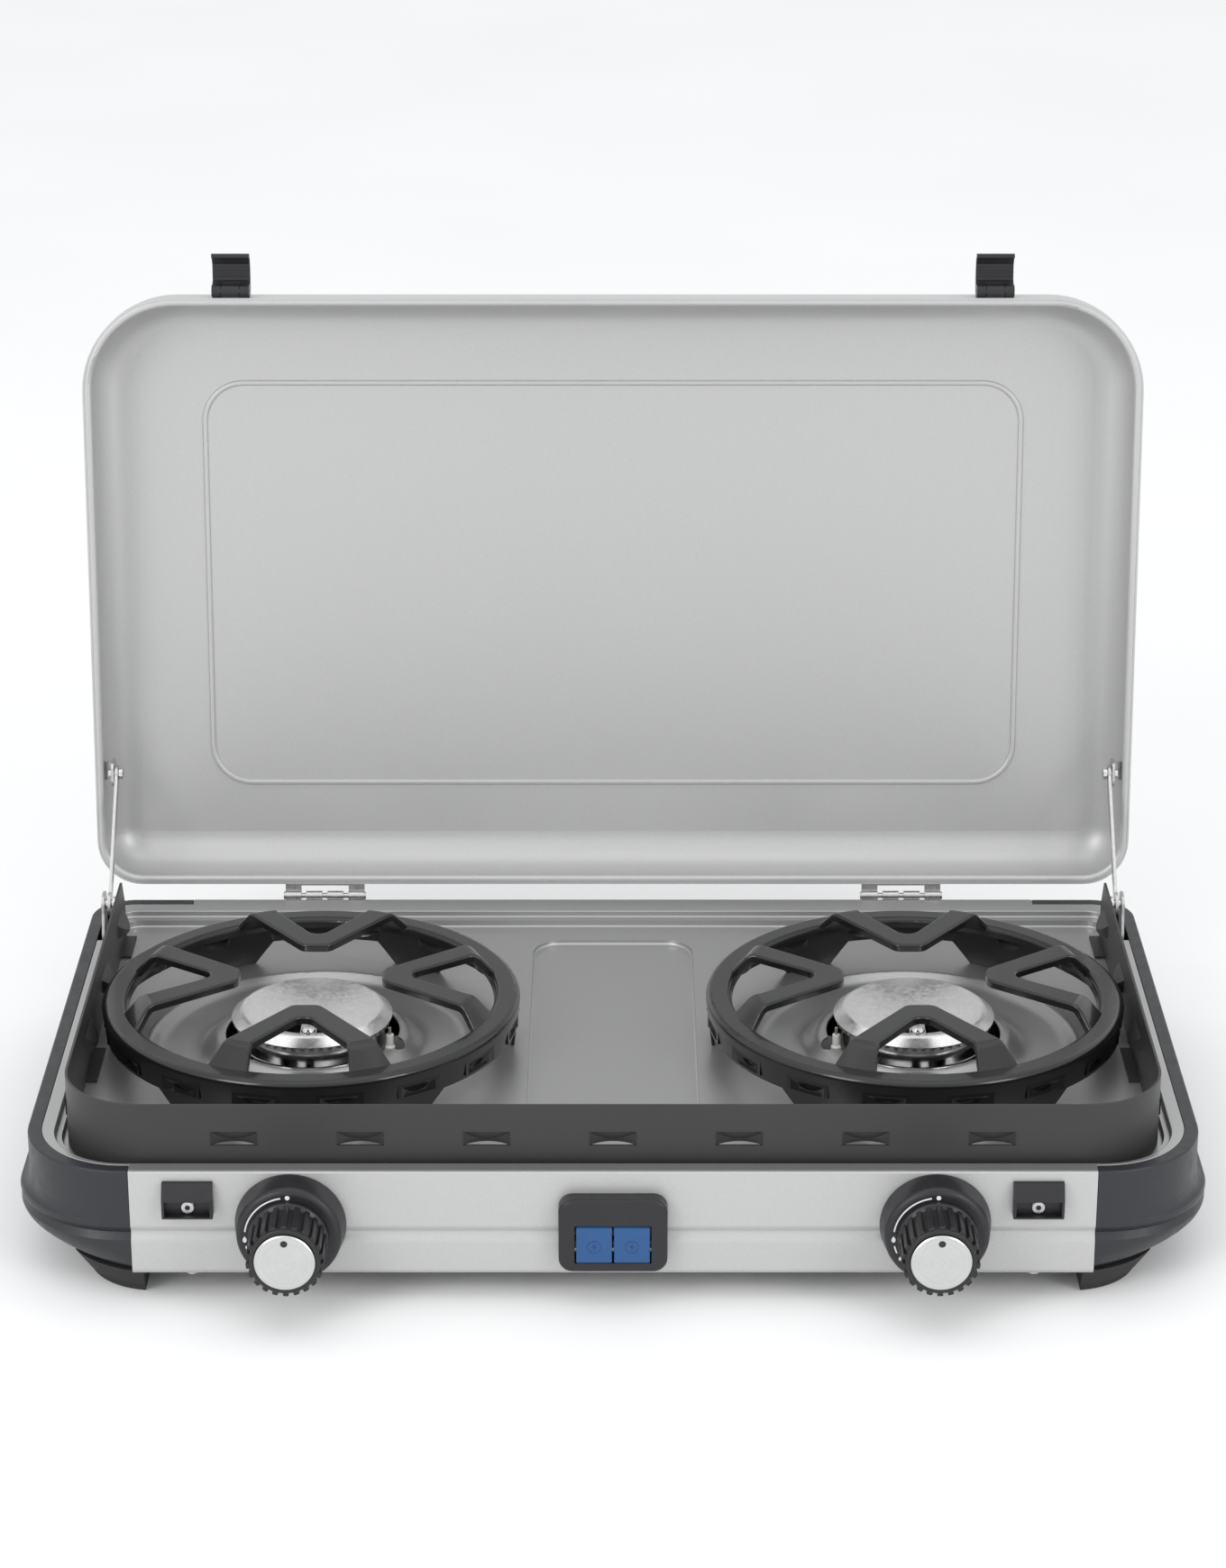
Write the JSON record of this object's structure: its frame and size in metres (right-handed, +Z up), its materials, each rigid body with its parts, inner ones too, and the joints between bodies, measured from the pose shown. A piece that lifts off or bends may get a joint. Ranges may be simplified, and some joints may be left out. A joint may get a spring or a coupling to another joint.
{
  "type": "camping stove",
  "caption": "Camping stove with burners side by side, a hinged lid on folding stays, wraparound windshield, pan supports, gas knobs and push-button ignition.",
  "frame": {"origin": "middle of the bounding box, on the surface under the rubber feet, with the lid open", "axes": "+X to the user's right along the stove's width, +Y away from the user, +Z up"},
  "size_m": [0.5732, 0.4356, 0.415],
  "materials": {
    "silver_paint": "satin silver paint",
    "hob_paint": "satin grey paint",
    "dark_enamel": "satin dark grey enamel",
    "gloss_enamel": "gloss black enamel",
    "dark_plastic": "moulded dark grey plastic",
    "black_plastic": "satin black plastic",
    "knob_plastic": "satin black plastic",
    "rubber": "matt black rubber",
    "zinc_steel": "bright zinc plated",
    "chrome": "polished",
    "burner_aluminium": "cast",
    "cap_aluminium": "satin",
    "turned_aluminium": "turned face",
    "brass": "machined",
    "ceramic": "white glazed",
    "blue_plastic": "satin blue",
    "lead_sleeve": "red silicone sleeve"
  },
  "bodies": {
    "base": {"base_fasteners": "zinc_steel", "base_hinge_leaves": "zinc_steel", "burner_screws": "chrome", "burner_straps": "zinc_steel", "catch_studs": "zinc_steel", "electrode_ceramics": "ceramic", "electrode_pins": "zinc_steel", "front_panel": "silver_paint", "gas_inlet": "brass", "gas_jets": "brass", "gas_rail": "zinc_steel", "hob_tray": "hob_paint", "ignition_bezel": "black_plastic", "ignition_leads": "lead_sleeve", "latch_catches": "black_plastic", "left_burner_cap": "cap_aluminium", "left_burner_cup": "chrome", "left_end_cap": "dark_plastic", "left_flame_ring": "burner_aluminium", "left_knob_bezel": "black_plastic", "left_mixing_tube": "zinc_steel", "left_pan_support": "gloss_enamel", "left_valve_body": "brass", "piezo_igniters": "dark_plastic", "rear_panel": "dark_enamel", "right_burner_cap": "cap_aluminium", "right_burner_cup": "chrome", "right_end_cap": "dark_plastic", "right_flame_ring": "burner_aluminium", "right_knob_bezel": "black_plastic", "right_mixing_tube": "zinc_steel", "right_pan_support": "gloss_enamel", "right_valve_body": "brass", "rubber_feet": "rubber", "stay_posts": "zinc_steel", "stay_studs": "chrome", "underside_brace": "zinc_steel", "windshield": "dark_enamel"},
    "lid": {"lid_shell": "silver_paint", "lid_hinge_leaves": "zinc_steel", "hinge_pins": "zinc_steel", "lid_rivets": "chrome", "stay_brackets": "zinc_steel", "stay_pivot_pins": "chrome", "latch_mounts": "black_plastic", "latch_pins": "zinc_steel"},
    "left_latch": {"left_lid_latch": "black_plastic"},
    "left_stay": {"left_stay_arm": "zinc_steel"},
    "left_control": {"left_knob": "knob_plastic", "left_knob_insert": "turned_aluminium", "left_valve_spindle": "brass"},
    "left_button": {"left_ignition_button": "blue_plastic"},
    "right_latch": {"right_lid_latch": "black_plastic"},
    "right_stay": {"right_stay_arm": "zinc_steel"},
    "right_control": {"right_knob": "knob_plastic", "right_knob_insert": "turned_aluminium", "right_valve_spindle": "brass"},
    "right_button": {"right_ignition_button": "blue_plastic"}
  },
  "joints": [
    {"name": "lid_hinge", "type": "hinge", "parent": "base", "child": "lid", "pos_m": [0, 0.1472, 0.0685], "axis": [1, 0, 0], "range_deg": [0, 96.9]},
    {"name": "left_stay_fold", "type": "hinge", "parent": "lid", "child": "left_stay", "pos_m": [-0.26875, 0.16027, 0.13491], "axis": [1, 0, 0], "range_deg": [-142.5, 0]},
    {"name": "left_latch_turn", "type": "hinge", "parent": "lid", "child": "left_latch", "pos_m": [-0.2005, 0.18833, 0.39593], "axis": [1, 0, 0], "range_deg": [0, 90]},
    {"name": "left_knob_turn", "type": "hinge", "parent": "base", "child": "left_control", "pos_m": [-0.152, -0.1918, 0.0405], "axis": [0, -1, 0], "range_deg": [0, 180]},
    {"name": "left_button_press", "type": "slide", "parent": "base", "child": "left_button", "axis": [0, 1, 0], "range_m": [0, 0.004], "stiffness_N_per_m": 300, "springref_m": -0.002},
    {"name": "right_stay_fold", "type": "hinge", "parent": "lid", "child": "right_stay", "pos_m": [0.26875, 0.16027, 0.13491], "axis": [1, 0, 0], "range_deg": [-142.5, 0]},
    {"name": "right_latch_turn", "type": "hinge", "parent": "lid", "child": "right_latch", "pos_m": [0.2005, 0.18833, 0.39593], "axis": [1, 0, 0], "range_deg": [0, 90]},
    {"name": "right_knob_turn", "type": "hinge", "parent": "base", "child": "right_control", "pos_m": [0.152, -0.1918, 0.0405], "axis": [0, -1, 0], "range_deg": [0, 180]},
    {"name": "right_button_press", "type": "slide", "parent": "base", "child": "right_button", "axis": [0, 1, 0], "range_m": [0, 0.004], "stiffness_N_per_m": 300, "springref_m": -0.002}
  ],
  "couplings": [
    {"joint": "left_stay_fold", "follows": "lid_hinge", "ratio": -1.4706},
    {"joint": "right_stay_fold", "follows": "lid_hinge", "ratio": -1.4706}
  ]
}
